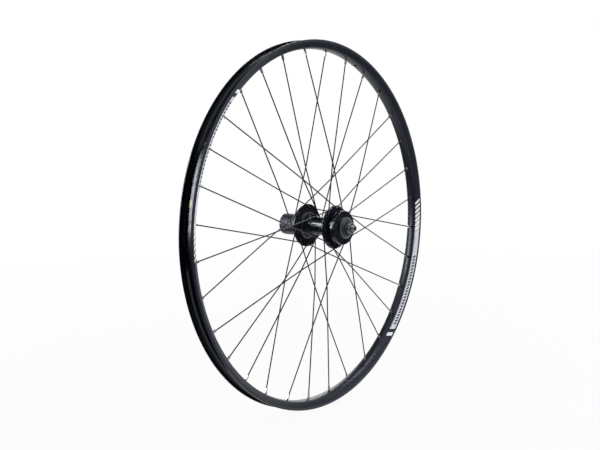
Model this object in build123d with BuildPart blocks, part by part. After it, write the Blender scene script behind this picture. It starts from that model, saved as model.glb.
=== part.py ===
from build123d import *
from math import cos, radians, sin
import os

os.makedirs("parts", exist_ok=True)

# The axle lies along Y with the rotor side at +Y, X is forward and Z is up.
# Angles around the axle count from +X towards +Z. The origin is the rim's centre on the axle.

# Rim with a 584 mm bead seat
bead_seat_radius = 292.0
rim_flange_height = 5.8
rim_width = 25.8
rim_flange_wall = 1.75
rim_hook = 0.7
rim_hook_height = 1.7
rim_depth = 14.6
rim_side_wall = 1.5
rim_lip_height = 4.4
spoke_bed_wall = 2.0
spoke_bed_half = 9.2
spoke_bed_crown = 1.9
spoke_bed_fillet = 2.4
tyre_bed_wall = 1.2
well_depth = 3.2
well_width = 11.0
well_slope = 2.0
access_hole_radius = 4.3
valve_hole_radius = 3.25
valve_angle = 112.5
strip_thickness = 0.8
strip_clearance = 0.2

# Spokes, laced three-cross from two flanges
spoke_count = 32
crosses = 3
first_nipple_angle = 5.625
spoke_radius = 1.0
spoke_head_radius = 1.9
spoke_head_height = 1.3
elbow_radius = 1.8
inner_elbow_stand = 1.4
outer_elbow_stand = 2.2
crossing_clearance = 0.05
crossing_radius = 40.0

# Nipples
nipple_radius = 2.0
nipple_head_radius = 3.0
nipple_head_height = 2.6
nipple_slot_depth = 0.9
nipple_slot_width = 0.9
nipple_length = 10.0
nipple_square = 3.3
nipple_square_length = 5.5
nipple_hole_clearance = 0.12
spoke_thread_clearance = 0.03
spoke_end_reach = 0.7
seat_depth = 0.5

# Hub shell
flange_edge = 4.5
flange_thickness = 3.2
flange_taper = 1.2
spoke_circle_radius = 30.5
spoke_hole_radius = 1.3
disc_flange_y = 37.5
drive_flange_y = -21.0
barrel_radius = 15.0
boss_radius = 18.0
boss_fillet = 5.5
boss_face_inset = 4.8
drive_lip_radius = 21.0
neck_radius = 19.0
rotor_mount_radius = 27.0
rotor_mount_thickness = 10.0
rotor_face_y = 55.2
rotor_pilot_radius = 17.5
rotor_pilot_height = 3.5
rotor_bolt_circle = 44.0
rotor_bolt_count = 6
rotor_bolt_hole_radius = 2.1
hub_bore_radius = 10.5
seat_clearance = 0.02

# Axle and its nuts
over_locknut = 141.0
axle_length = 152.0
axle_radius = 5.0
axle_end_radius = 4.8
axle_bore_radius = 2.6
axle_shoulder_radius = 6.5
axle_chamfer = 0.6
left_spacer_radius = 8.4
right_spacer_radius = 7.0
locknut_flats = 17.0
locknut_width = 7.0
locknut_round = 9.2

# Hub bearings, 10 x 26 x 8
hub_bearing_radius = 13.0
hub_bearing_width = 8.0
hub_ball_radius = 2.38
hub_ball_circle = 9.0
hub_ball_count = 8
hub_race_gap = 3.2
right_bearing_inset = 17.0

# Freehub bearings, 10 x 22 x 6
freehub_bearing_radius = 11.0
freehub_bearing_width = 6.0
freehub_ball_radius = 1.5875
freehub_ball_circle = 8.0
freehub_ball_count = 10
freehub_race_gap = 2.1
ball_clearance = 0.05

# Freehub body
freehub_neck_radius = 14.9
freehub_neck_gap = 2.5
freehub_bore_radius = 8.0
collar_radius = 18.4
collar_width = 2.7
spline_radius = 17.4
spline_length = 35.0
spline_depth = 1.3
spline_count = 9
spline_groove = 4.4
spline_key_groove = 2.4
lockring_bore_radius = 14.8
lockring_depth = 7.5

# Ratchet ring, pawls and springs
ratchet_outer_radius = 19.0
ratchet_root_radius = 17.2
ratchet_tip_radius = 15.6
ratchet_width = 8.5
ratchet_teeth = 24
pawl_count = 3
pawl_width = 6.0
pawl_side_clearance = 0.2
pawl_wall = 0.8
pawl_pivot_radius = 1.9
pawl_pivot_inset = 2.3
pawl_pivot_clearance = 0.1
pawl_start_angle = 90.0
pawl_reach_angle = 27.0
pawl_flank_gap = 3.8
pawl_tip_clearance = 0.4
pawl_tip_height = 2.6
spring_width = 3.0
spring_leaf = 0.3

# Seal and dust cap
seal_thickness = 0.55
seal_gap = 0.25
cap_recess_radius = 14.5
cap_bearing_step = 0.2
cap_bore_clearance = 0.6
cap_cover_inset = 0.5
cap_edge_height = 1.0
cap_nose_radius = 11.0
cap_nose_gap = 0.6
cap_dome = 0.4

# Places along the axle
locknut_face_y = over_locknut / 2
pilot_end_y = rotor_face_y + rotor_pilot_height
cap_nose_y = locknut_face_y - locknut_width - cap_nose_gap
left_bearing_out = rotor_face_y - cap_bearing_step
left_bearing_in = left_bearing_out - hub_bearing_width
right_bearing_in = drive_flange_y + right_bearing_inset
right_bearing_out = right_bearing_in - hub_bearing_width
boss_face_y = right_bearing_in - boss_face_inset
freehub_neck_face = right_bearing_out - freehub_neck_gap
freehub_neck_shoulder = freehub_neck_face - freehub_bearing_width
pawl_pocket_in = freehub_neck_shoulder - pawl_wall
pawl_in = pawl_pocket_in - pawl_side_clearance
pawl_pocket_width = pawl_width + 2 * pawl_side_clearance
hub_drive_end = pawl_pocket_in - pawl_pocket_width - 0.3
ratchet_in = hub_drive_end + ratchet_width
collar_face = hub_drive_end - seal_gap - seal_thickness
spline_in = collar_face - collar_width
freehub_end = spline_in - spline_length
lockring_floor = freehub_end + lockring_depth
outer_bearing_out = lockring_floor + 0.5
outer_bearing_in = outer_bearing_out + freehub_bearing_width

# Radii of the rim's section
rim_radius = bead_seat_radius + rim_flange_height
spoke_bed_radius = rim_radius - rim_depth
spoke_bed_edge = spoke_bed_radius + spoke_bed_crown
side_break_radius = rim_radius - rim_lip_height
side_slope = (rim_width / 2 - spoke_bed_half) / (side_break_radius - spoke_bed_edge)
well_radius = bead_seat_radius - well_depth
well_half = well_width / 2
inner_half = rim_width / 2 - rim_flange_wall
nipple_seat_radius = spoke_bed_radius + spoke_bed_wall - seat_depth
chamber_top = bead_seat_radius - tyre_bed_wall
chamber_foot = spoke_bed_edge + rim_side_wall
chamber_foot_half = spoke_bed_half + side_slope * rim_side_wall - rim_side_wall
chamber_top_half = chamber_foot_half + side_slope * (chamber_top - chamber_foot)

# The flanges reach past the spoke circle, and the heads sit on a flat ring inside their edge
flange_radius = spoke_circle_radius + flange_edge
head_land_radius = spoke_circle_radius + spoke_head_radius + 0.2

# Lacing angles
flange_spokes = spoke_count // 2
nipple_pitch = 360 / spoke_count
cross_turn = crosses * 360 / flange_spokes


def around(radius, angle, y):
    return Vector(radius * cos(radians(angle)), y, radius * sin(radians(angle)))


# Each spoke leaves its flange outwards or inwards and passes its partner at the last crossing
spoke_paths = []
nipple_planes = []
hub_arm = spoke_circle_radius * sin(radians(cross_turn - nipple_pitch))
rim_arm = nipple_seat_radius * sin(radians(nipple_pitch))
crossing_share = hub_arm / (hub_arm + rim_arm)
for number in range(spoke_count):
    nipple_angle = first_nipple_angle + number * nipple_pitch
    flange_y = disc_flange_y if number % 2 else drive_flange_y
    outward = 1 if flange_y > 0 else -1
    turn = 1 if number // 2 % 2 else -1
    face = -turn * outward
    stand = outer_elbow_stand if turn < 0 else inner_elbow_stand
    hub_angle = nipple_angle + turn * cross_turn
    head = around(spoke_circle_radius, hub_angle, flange_y - face * flange_thickness / 2)
    elbow = around(spoke_circle_radius, hub_angle, flange_y + face * (flange_thickness / 2 + stand))
    seat = around(nipple_seat_radius, nipple_angle, 0)
    hole = around(spoke_circle_radius, hub_angle, flange_y)
    crossing = hole + (seat - hole) * crossing_share
    crossing -= Vector(0, face * (spoke_radius + crossing_clearance), 0)
    along = (seat - crossing).normalized()
    spoke_paths.append((head, elbow, crossing, seat + along * spoke_end_reach))
    nipple_planes.append(Plane(origin=seat, x_dir=(0, 1, 0), z_dir=along))

# Rim: a hollow section turned around the axle, drilled for nipples, their access and the valve
with BuildPart() as rim:
    with BuildSketch() as rim_section:
        with BuildLine():
            Polyline(
                (well_radius, well_half),
                (bead_seat_radius, well_half + well_slope),
                (bead_seat_radius, inner_half),
                (rim_radius - rim_hook_height, inner_half),
                (rim_radius - rim_hook_height + rim_hook, inner_half - rim_hook),
                (rim_radius, inner_half - rim_hook),
                (rim_radius, rim_width / 2),
                (side_break_radius, rim_width / 2),
                (spoke_bed_edge, spoke_bed_half),
            )
            mirror(about=Plane.XZ)
            Line((well_radius, -well_half), (well_radius, well_half))
            ThreePointArc(
                (spoke_bed_edge, -spoke_bed_half),
                (spoke_bed_radius, 0),
                (spoke_bed_edge, spoke_bed_half),
            )
        make_face()
        fillet(rim_section.vertices().filter_by(lambda v: v.X > rim_radius - 0.01), radius=0.6)
        bed_corners = rim_section.vertices().filter_by(lambda v: abs(v.X - spoke_bed_edge) < 0.01)
        fillet(bed_corners, radius=spoke_bed_fillet)
        with BuildLine():
            Polyline(
                (well_radius - tyre_bed_wall, well_half + 0.56 * tyre_bed_wall),
                (chamber_top, well_half + well_slope + 0.56 * tyre_bed_wall),
                (chamber_top, chamber_top_half),
                (chamber_foot, chamber_foot_half),
            )
            mirror(about=Plane.XZ)
            Line(
                (well_radius - tyre_bed_wall, -well_half - 0.56 * tyre_bed_wall),
                (well_radius - tyre_bed_wall, well_half + 0.56 * tyre_bed_wall),
            )
            ThreePointArc(
                (chamber_foot, -chamber_foot_half),
                (spoke_bed_radius + spoke_bed_wall, 0),
                (chamber_foot, chamber_foot_half),
            )
        make_face(mode=Mode.SUBTRACT)
    revolve(axis=Axis.Y)
    with Locations(*nipple_planes):
        Cylinder(nipple_radius + nipple_hole_clearance, 12, mode=Mode.SUBTRACT)
        Cylinder(
            nipple_head_radius + nipple_hole_clearance,
            3,
            align=(Align.CENTER, Align.CENTER, Align.MIN),
            mode=Mode.SUBTRACT,
        )
    access_planes = [
        Plane(origin=around(well_radius, angle, 0), z_dir=around(1, angle, 0))
        for angle in [first_nipple_angle + number * nipple_pitch for number in range(spoke_count)]
    ]
    with Locations(*access_planes):
        Cylinder(access_hole_radius, 2 * well_depth, mode=Mode.SUBTRACT)
    with Locations(Plane(origin=around(well_radius, valve_angle, 0), z_dir=around(1, valve_angle, 0))):
        Cylinder(valve_hole_radius, 2 * rim_depth, mode=Mode.SUBTRACT)
rim.part.label = "rim"
export_step(rim.part, "parts/rim.step")

# Rim strip lying on the floor of the well, open at the valve
with BuildPart() as rim_strip:
    with BuildSketch():
        with Locations((well_radius + strip_thickness / 2, 0)):
            Rectangle(strip_thickness, well_width - 2 * strip_clearance)
    revolve(axis=Axis.Y)
    with Locations(Plane(origin=around(well_radius, valve_angle, 0), z_dir=around(1, valve_angle, 0))):
        Cylinder(valve_hole_radius, 4 * strip_thickness, mode=Mode.SUBTRACT)
rim_strip.part.label = "rim_strip"
export_step(rim_strip.part, "parts/rim_strip.step")

# One nipple along Z, its head's underside at the origin
with BuildPart() as nipple:
    Cylinder(nipple_radius, nipple_length, align=(Align.CENTER, Align.CENTER, Align.MAX))
    with BuildSketch(Plane.XY.offset(-nipple_length)):
        Circle(nipple_radius + 1)
        Rectangle(nipple_square, nipple_square, mode=Mode.SUBTRACT)
    extrude(amount=nipple_square_length, mode=Mode.SUBTRACT)
    Cylinder(nipple_head_radius, nipple_head_height, align=(Align.CENTER, Align.CENTER, Align.MIN))
    fillet(nipple.faces().sort_by(Axis.Z)[-1].edges(), radius=0.8)
    with Locations((0, 0, nipple_head_height)):
        Box(3 * nipple_head_radius, nipple_slot_width, 2 * nipple_slot_depth, mode=Mode.SUBTRACT)
    with Locations((0, 0, spoke_end_reach)):
        Cylinder(
            spoke_radius + spoke_thread_clearance,
            nipple_length + spoke_end_reach,
            align=(Align.CENTER, Align.CENTER, Align.MAX),
            mode=Mode.SUBTRACT,
        )

with BuildPart() as nipples:
    with Locations(*nipple_planes):
        add(nipple.part)
nipples.part.label = "nipples"
export_step(nipples.part, "parts/nipples.step")

# Spokes: head, elbow at the flange, slight bend at the last crossing, end in the nipple
for number, (head, elbow, crossing, end) in enumerate(spoke_paths):
    with BuildPart() as spoke:
        with BuildLine() as path:
            FilletPolyline(head, elbow, crossing, end, radius=(elbow_radius, crossing_radius))
        with BuildSketch(Plane(origin=head, z_dir=elbow - head)):
            Circle(spoke_radius)
        sweep()
        with BuildSketch(Plane(origin=head, z_dir=head - elbow)):
            Circle(spoke_head_radius)
        extrude(amount=spoke_head_height, taper=16)
    spoke.part.label = f"spoke_{number + 1:02d}"
    export_step(spoke.part, f"parts/{spoke.part.label}.step")

# Hub shell: barrel, two flanges, ratchet boss, rotor mount and the bearing seats inside
with BuildPart() as hub_shell:
    with BuildSketch() as hub_section:
        with BuildLine():
            Polyline(
                (ratchet_outer_radius + seat_clearance, hub_drive_end),
                (drive_lip_radius, hub_drive_end),
                (drive_lip_radius, drive_flange_y - flange_thickness / 2),
                (head_land_radius, drive_flange_y - flange_thickness / 2),
                (flange_radius, drive_flange_y - flange_thickness / 2 + flange_taper),
                (flange_radius, drive_flange_y + flange_thickness / 2),
                (boss_radius, drive_flange_y + flange_thickness / 2),
                (boss_radius, boss_face_y),
                (barrel_radius, boss_face_y),
                (barrel_radius, disc_flange_y - flange_thickness / 2 - 9),
                (neck_radius, disc_flange_y - flange_thickness / 2),
                (flange_radius, disc_flange_y - flange_thickness / 2),
                (flange_radius, disc_flange_y + flange_thickness / 2 - flange_taper),
                (head_land_radius, disc_flange_y + flange_thickness / 2),
                (neck_radius, disc_flange_y + flange_thickness / 2),
                (neck_radius, rotor_face_y - rotor_mount_thickness),
                (rotor_mount_radius, rotor_face_y - rotor_mount_thickness),
                (rotor_mount_radius, rotor_face_y),
                (rotor_pilot_radius, rotor_face_y),
                (rotor_pilot_radius, pilot_end_y),
                (cap_recess_radius, pilot_end_y),
                (cap_recess_radius, left_bearing_out),
                (hub_bearing_radius + seat_clearance, left_bearing_out),
                (hub_bearing_radius + seat_clearance, left_bearing_in),
                (hub_bore_radius, left_bearing_in),
                (hub_bore_radius, right_bearing_in),
                (hub_bearing_radius + seat_clearance, right_bearing_in),
                (hub_bearing_radius + seat_clearance, right_bearing_out - 0.5),
                (ratchet_tip_radius, right_bearing_out - 0.5),
                (ratchet_tip_radius, ratchet_in),
                (ratchet_outer_radius + seat_clearance, ratchet_in),
                close=True,
            )
        make_face()
        fillet(hub_section.vertices().filter_by(lambda v: v.X > flange_radius - 0.01), radius=0.8)
        fillet(
            hub_section.vertices().filter_by(
                lambda v: abs(v.X - neck_radius) < 0.01 and v.Y > disc_flange_y,
            ),
            radius=1.5,
        )
        boss_corners = hub_section.vertices().filter_by(lambda v: abs(v.X - boss_radius) < 0.01)
        fillet(boss_corners.sort_by(Axis.Y)[0], radius=boss_fillet)
        barrel_corners = hub_section.vertices().filter_by(lambda v: abs(v.X - barrel_radius) < 0.01)
        fillet(barrel_corners.sort_by(Axis.Y)[-1], radius=4)
        barrel_corners = hub_section.vertices().filter_by(lambda v: abs(v.X - barrel_radius) < 0.01)
        fillet(barrel_corners.sort_by(Axis.Y)[0], radius=0.8)
        boss_corners = hub_section.vertices().filter_by(lambda v: abs(v.X - boss_radius) < 0.01)
        fillet(boss_corners.sort_by(Axis.Y)[-1], radius=0.5)
        fillet(
            hub_section.vertices().filter_by(
                lambda v: abs(v.X - rotor_mount_radius) < 0.01 and v.Y < rotor_face_y - 1,
            ),
            radius=1.2,
        )
    revolve(axis=Axis.Y)
    for flange_y, first in ((drive_flange_y, 0), (disc_flange_y, nipple_pitch)):
        with Locations(Plane.XZ.offset(-flange_y)):
            with PolarLocations(spoke_circle_radius, flange_spokes, first_nipple_angle + first):
                Cylinder(spoke_hole_radius, 2 * flange_thickness, mode=Mode.SUBTRACT)
    with Locations(Plane.XZ.offset(-rotor_face_y)):
        with PolarLocations(rotor_bolt_circle / 2, rotor_bolt_count, 90):
            Cylinder(rotor_bolt_hole_radius, 2 * rotor_mount_thickness + 1, mode=Mode.SUBTRACT)
hub_shell.part.label = "hub_shell"
export_step(hub_shell.part, "parts/hub_shell.step")

# Dust cap: a plug in the rotor pilot under a domed cover that reaches up to the locknut
with BuildPart() as dust_cap:
    cap_inner = left_spacer_radius + cap_bore_clearance
    cap_outer = cap_recess_radius - seat_clearance
    cap_cover = rotor_pilot_radius - cap_cover_inset
    with BuildSketch():
        with BuildLine():
            Polyline(
                (cap_cover, pilot_end_y + cap_edge_height),
                (cap_cover, pilot_end_y),
                (cap_outer, pilot_end_y),
                (cap_outer, left_bearing_out),
                (cap_inner, left_bearing_out),
                (cap_inner, cap_nose_y),
                (cap_nose_radius, cap_nose_y),
            )
            SagittaArc(
                (cap_nose_radius, cap_nose_y),
                (cap_cover, pilot_end_y + cap_edge_height),
                -cap_dome,
            )
        make_face()
    revolve(axis=Axis.Y)
dust_cap.part.label = "dust_cap"
export_step(dust_cap.part, "parts/dust_cap.step")

# Axle: a hollow rod with a shoulder between the hub bearings
with BuildPart() as axle:
    with BuildSketch():
        with BuildLine():
            Polyline(
                (axle_bore_radius, -axle_length / 2),
                (axle_end_radius - axle_chamfer, -axle_length / 2),
                (axle_end_radius, -axle_length / 2 + axle_chamfer),
                (axle_end_radius, -locknut_face_y),
                (axle_radius, -locknut_face_y),
                (axle_radius, right_bearing_in),
                (axle_shoulder_radius, right_bearing_in),
                (axle_shoulder_radius, left_bearing_in),
                (axle_radius, left_bearing_in),
                (axle_radius, locknut_face_y),
                (axle_end_radius, locknut_face_y),
                (axle_end_radius, axle_length / 2 - axle_chamfer),
                (axle_end_radius - axle_chamfer, axle_length / 2),
                (axle_bore_radius, axle_length / 2),
                close=True,
            )
        make_face()
    revolve(axis=Axis.Y)
axle.part.label = "axle"
export_step(axle.part, "parts/axle.step")

# Plain spacer sleeves on the axle
spacer_sizes = {
    "left_spacer": (left_bearing_out, locknut_face_y - locknut_width, left_spacer_radius),
    "bearing_spacer": (freehub_neck_face, right_bearing_out, axle_shoulder_radius),
    "freehub_spacer": (outer_bearing_in, freehub_neck_shoulder, axle_shoulder_radius),
    "right_spacer": (locknut_width - locknut_face_y, outer_bearing_out, right_spacer_radius),
}
for spacer_name, (low, high, radius) in spacer_sizes.items():
    with BuildPart() as spacer:
        with BuildSketch():
            with Locations((axle_radius + seat_clearance, low)):
                Rectangle(radius - axle_radius - seat_clearance, high - low, align=(Align.MIN, Align.MIN))
        revolve(axis=Axis.Y)
    spacer.part.label = spacer_name
    export_step(spacer.part, f"parts/{spacer_name}.step")

# Hexagonal locknuts with rounded corners, their outer faces at the over-locknut width
for locknut_name, plane in (
    ("left_locknut", Plane.XZ.offset(locknut_width - locknut_face_y)),
    ("right_locknut", Plane.XZ.offset(locknut_face_y)),
):
    with BuildPart() as locknut:
        with BuildSketch(plane):
            RegularPolygon(locknut_flats / 2, 6, major_radius=False)
            Circle(locknut_round, mode=Mode.INTERSECT)
            Circle(axle_radius + seat_clearance, mode=Mode.SUBTRACT)
        extrude(amount=-locknut_width)
    locknut.part.label = locknut_name
    export_step(locknut.part, f"parts/{locknut_name}.step")

# Hub bearings: inner race on the axle, outer race in the shell, balls between
hub_inner_land = hub_ball_circle - hub_race_gap / 2
hub_outer_land = hub_ball_circle + hub_race_gap / 2
for side, low in (("left", left_bearing_in), ("right", right_bearing_out)):
    middle = low + hub_bearing_width / 2
    with BuildPart() as inner_race:
        with BuildSketch():
            with Locations((axle_radius + seat_clearance, low)):
                Rectangle(
                    hub_inner_land - axle_radius - seat_clearance,
                    hub_bearing_width,
                    align=(Align.MIN, Align.MIN),
                )
            with Locations((hub_ball_circle, middle)):
                Circle(hub_ball_radius + ball_clearance, mode=Mode.SUBTRACT)
        revolve(axis=Axis.Y)
    inner_race.part.label = f"{side}_inner_race"
    export_step(inner_race.part, f"parts/{side}_inner_race.step")

    with BuildPart() as outer_race:
        with BuildSketch():
            with Locations((hub_outer_land, low)):
                Rectangle(hub_bearing_radius - hub_outer_land, hub_bearing_width, align=(Align.MIN, Align.MIN))
            with Locations((hub_ball_circle, middle)):
                Circle(hub_ball_radius + ball_clearance, mode=Mode.SUBTRACT)
        revolve(axis=Axis.Y)
    outer_race.part.label = f"{side}_outer_race"
    export_step(outer_race.part, f"parts/{side}_outer_race.step")

    with BuildPart() as balls:
        with Locations(Plane.XZ.offset(-middle)):
            with PolarLocations(hub_ball_circle, hub_ball_count):
                Sphere(hub_ball_radius)
    balls.part.label = f"{side}_balls"
    export_step(balls.part, f"parts/{side}_balls.step")

# Freehub bearings: one in the mouth of the neck, one behind the lockring thread
freehub_inner_land = freehub_ball_circle - freehub_race_gap / 2
freehub_outer_land = freehub_ball_circle + freehub_race_gap / 2
freehub_bearing_lows = (freehub_neck_shoulder, outer_bearing_out)
with BuildPart() as freehub_inner_races:
    with BuildSketch():
        for low in freehub_bearing_lows:
            with Locations((axle_radius + seat_clearance, low)):
                Rectangle(
                    freehub_inner_land - axle_radius - seat_clearance,
                    freehub_bearing_width,
                    align=(Align.MIN, Align.MIN),
                )
            with Locations((freehub_ball_circle, low + freehub_bearing_width / 2)):
                Circle(freehub_ball_radius + ball_clearance, mode=Mode.SUBTRACT)
    revolve(axis=Axis.Y)
freehub_inner_races.part.label = "freehub_inner_races"
export_step(freehub_inner_races.part, "parts/freehub_inner_races.step")

with BuildPart() as freehub_outer_races:
    with BuildSketch():
        for low in freehub_bearing_lows:
            with Locations((freehub_outer_land, low)):
                Rectangle(
                    freehub_bearing_radius - freehub_outer_land,
                    freehub_bearing_width,
                    align=(Align.MIN, Align.MIN),
                )
            with Locations((freehub_ball_circle, low + freehub_bearing_width / 2)):
                Circle(freehub_ball_radius + ball_clearance, mode=Mode.SUBTRACT)
    revolve(axis=Axis.Y)
freehub_outer_races.part.label = "freehub_outer_races"
export_step(freehub_outer_races.part, "parts/freehub_outer_races.step")

with BuildPart() as freehub_balls:
    for low in freehub_bearing_lows:
        with Locations(Plane.XZ.offset(-low - freehub_bearing_width / 2)):
            with PolarLocations(freehub_ball_circle, freehub_ball_count):
                Sphere(freehub_ball_radius)
freehub_balls.part.label = "freehub_balls"
export_step(freehub_balls.part, "parts/freehub_balls.step")

# Pawl outline: U runs out from the axle through the pivot, V runs towards the tip
pivot_u = freehub_neck_radius - pawl_pivot_inset
tip_radius = ratchet_root_radius - pawl_tip_clearance
tip_outer = Vector(tip_radius, 0).rotate(Axis.Z, pawl_reach_angle)
tip_inner = Vector(tip_radius - pawl_tip_height, 0).rotate(Axis.Z, pawl_reach_angle)
pawl_outline = (
    (pivot_u + 0.94 * pawl_pivot_radius, 0),
    (tip_outer.X, tip_outer.Y),
    (tip_inner.X, tip_inner.Y),
    (pivot_u - 0.94 * pawl_pivot_radius, 0.3),
)
floor_near = Vector(pivot_u - pawl_pivot_radius - 0.3, 0.8)
floor_far = Vector(pivot_u - pawl_pivot_radius, tip_inner.Y + 0.45)
pocket_outline = (
    (pivot_u, 0),
    (pivot_u + 4.4, -1.6),
    (pivot_u + 4.9, tip_outer.Y + 2.2),
    (pivot_u + 0.6, tip_outer.Y + 1),
    (floor_far.X, floor_far.Y),
    (floor_near.X, floor_near.Y),
)
floor_along = (floor_far - floor_near).normalized()
floor_up = Vector(floor_along.Y, -floor_along.X)
foot_start = floor_near + floor_along * 1.7
foot_end = floor_near + floor_along * 5.5
leaf_end = tip_inner + (Vector(pawl_outline[3]) - tip_inner) * 0.16 - Vector(0.04, 0)
leaf_along = (leaf_end - foot_start).normalized()
leaf_side = Vector(-leaf_along.Y, leaf_along.X)
spring_foot = (
    foot_start,
    foot_end,
    foot_end + floor_up * spring_leaf,
    foot_start + floor_up * spring_leaf,
)
spring_leg = (
    foot_start,
    foot_start + floor_up * spring_leaf,
    leaf_end,
    leaf_end + leaf_side * spring_leaf,
)


def pawl_plane(number, y):
    # V runs towards falling angles, the way the freehub drives
    angle = pawl_start_angle + number * 360 / pawl_count
    return Plane(origin=(0, y, 0), x_dir=around(1, angle, 0), z_dir=(0, 1, 0))


# Freehub body: neck with pawl pockets, collar, splines, bearing seats and lockring bore
with BuildPart() as freehub_body:
    with BuildSketch():
        with BuildLine():
            Polyline(
                (freehub_bearing_radius + seat_clearance, freehub_neck_face),
                (freehub_neck_radius, freehub_neck_face),
                (freehub_neck_radius, collar_face),
                (collar_radius, collar_face),
                (collar_radius, spline_in),
                (spline_radius, spline_in),
                (spline_radius, freehub_end + 1),
                (spline_radius - 1, freehub_end),
                (lockring_bore_radius, freehub_end),
                (lockring_bore_radius, lockring_floor),
                (freehub_bearing_radius + seat_clearance, lockring_floor),
                (freehub_bearing_radius + seat_clearance, outer_bearing_in),
                (freehub_bore_radius, outer_bearing_in),
                (freehub_bore_radius, freehub_neck_shoulder),
                (freehub_bearing_radius + seat_clearance, freehub_neck_shoulder),
                close=True,
            )
        make_face()
    revolve(axis=Axis.Y)
    with BuildSketch(Plane.XZ.offset(-spline_in)):
        with PolarLocations(spline_radius, spline_count, 90):
            Rectangle(2 * spline_depth, spline_groove)
        with Locations((-spline_key_groove / 2 - spline_groove / 2, spline_radius - 0.5)):
            Rectangle(spline_key_groove, 2 * spline_depth)
    extrude(amount=spline_length + 1, mode=Mode.SUBTRACT)
    for number in range(pawl_count):
        with BuildSketch(pawl_plane(number, pawl_pocket_in)):
            with Locations((pivot_u, 0)):
                Circle(pawl_pivot_radius + pawl_pivot_clearance)
            Polygon(*pocket_outline, align=None)
        extrude(amount=-pawl_pocket_width, mode=Mode.SUBTRACT)
freehub_body.part.label = "freehub_body"
export_step(freehub_body.part, "parts/freehub_body.step")

for number in range(pawl_count):
    with BuildPart() as pawl:
        with BuildSketch(pawl_plane(number, pawl_in)):
            with Locations((pivot_u, 0)):
                Circle(pawl_pivot_radius)
            Polygon(*pawl_outline, align=None)
        extrude(amount=-pawl_width)
    pawl.part.label = f"pawl_{number + 1}"
    export_step(pawl.part, f"parts/pawl_{number + 1}.step")

with BuildPart() as pawl_springs:
    for number in range(pawl_count):
        with BuildSketch(pawl_plane(number, pawl_in - (pawl_width - spring_width) / 2)):
            Polygon(*[(p.X, p.Y) for p in spring_foot], align=None)
            Polygon(*[(p.X, p.Y) for p in spring_leg], align=None)
        extrude(amount=-spring_width)
pawl_springs.part.label = "pawl_springs"
export_step(pawl_springs.part, "parts/pawl_springs.step")

# Ratchet ring pressed in the shell: steep flanks meet the pawl tips, sloped backs let them pass
with BuildPart() as ratchet_ring:
    tooth_pitch = 360 / ratchet_teeth
    first_flank = pawl_start_angle - pawl_reach_angle - pawl_flank_gap
    tooth_points = []
    for tooth in range(ratchet_teeth):
        flank = first_flank + tooth * tooth_pitch
        for radius, angle in (
            (ratchet_root_radius, flank),
            (ratchet_root_radius, flank + 0.2 * tooth_pitch),
            (ratchet_tip_radius, flank + 0.9 * tooth_pitch),
            (ratchet_tip_radius, flank + tooth_pitch),
        ):
            tooth_points.append((radius * cos(radians(angle)), radius * sin(radians(angle))))
    with BuildSketch(Plane.XZ.offset(-ratchet_in)):
        Circle(ratchet_outer_radius)
        Polygon(*tooth_points, align=None, mode=Mode.SUBTRACT)
    extrude(amount=ratchet_width)
ratchet_ring.part.label = "ratchet_ring"
export_step(ratchet_ring.part, "parts/ratchet_ring.step")

# Seal on the freehub collar, just clear of the shell
with BuildPart() as freehub_seal:
    with BuildSketch():
        with Locations((freehub_neck_radius + seat_clearance, collar_face)):
            Rectangle(
                collar_radius - freehub_neck_radius - seat_clearance,
                seal_thickness,
                align=(Align.MIN, Align.MIN),
            )
    revolve(axis=Axis.Y)
freehub_seal.part.label = "freehub_seal"
export_step(freehub_seal.part, "parts/freehub_seal.step")
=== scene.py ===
import math

import bmesh
import bpy
import numpy as np
from mathutils import Matrix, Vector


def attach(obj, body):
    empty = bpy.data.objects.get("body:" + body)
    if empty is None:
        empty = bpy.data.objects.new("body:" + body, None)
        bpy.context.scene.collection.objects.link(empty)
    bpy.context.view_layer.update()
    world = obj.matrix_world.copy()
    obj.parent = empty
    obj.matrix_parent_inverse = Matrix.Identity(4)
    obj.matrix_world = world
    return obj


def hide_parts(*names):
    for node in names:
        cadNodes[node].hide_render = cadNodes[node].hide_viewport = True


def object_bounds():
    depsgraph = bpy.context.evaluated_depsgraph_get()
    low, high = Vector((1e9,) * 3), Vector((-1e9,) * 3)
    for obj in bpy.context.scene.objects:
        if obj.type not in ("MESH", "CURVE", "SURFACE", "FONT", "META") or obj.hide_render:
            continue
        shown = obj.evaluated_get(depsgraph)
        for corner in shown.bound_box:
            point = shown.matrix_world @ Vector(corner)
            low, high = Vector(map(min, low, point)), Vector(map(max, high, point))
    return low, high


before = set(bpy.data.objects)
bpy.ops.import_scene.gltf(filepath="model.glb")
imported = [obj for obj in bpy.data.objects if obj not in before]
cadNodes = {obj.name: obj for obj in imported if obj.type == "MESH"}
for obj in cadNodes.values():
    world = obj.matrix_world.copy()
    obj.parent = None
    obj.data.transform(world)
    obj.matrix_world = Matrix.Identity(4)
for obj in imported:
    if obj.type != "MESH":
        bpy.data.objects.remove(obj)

cadBox = [list(corner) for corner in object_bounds()]
mm = 0.001
fullTurn = 2 * np.pi
tiny = 1e-4  # a step in a section shorter than this, in millimetres or radians, is left out
weld = 1e-7  # points nearer than this, in metres, become one
print("frame loaded:", len(cadNodes), "nodes")


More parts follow.
